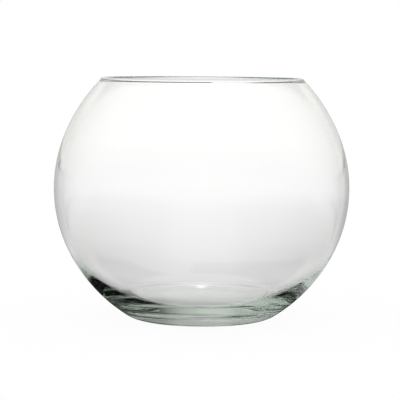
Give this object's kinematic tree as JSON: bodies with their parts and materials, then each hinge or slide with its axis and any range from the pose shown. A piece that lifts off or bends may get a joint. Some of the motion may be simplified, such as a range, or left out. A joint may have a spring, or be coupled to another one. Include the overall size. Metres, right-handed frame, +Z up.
{
  "type": "rose bowl vase",
  "caption": "Round clear glass bowl vase with a heavy flattened base and a wide drawn-in mouth with a fire-polished lip, for water and cut flowers.",
  "frame": {"origin": "middle of the foot ring, level with the table", "axes": "+Z up along the bowl's axis, +X to the right and -Y towards the viewer of the picture"},
  "size_m": [0.2, 0.2, 0.1624],
  "materials": {
    "clear_glass": "clear, smooth, fire polished"
  },
  "bodies": {
    "root": {"glass_bowl": "clear_glass"}
  },
  "joints": []
}
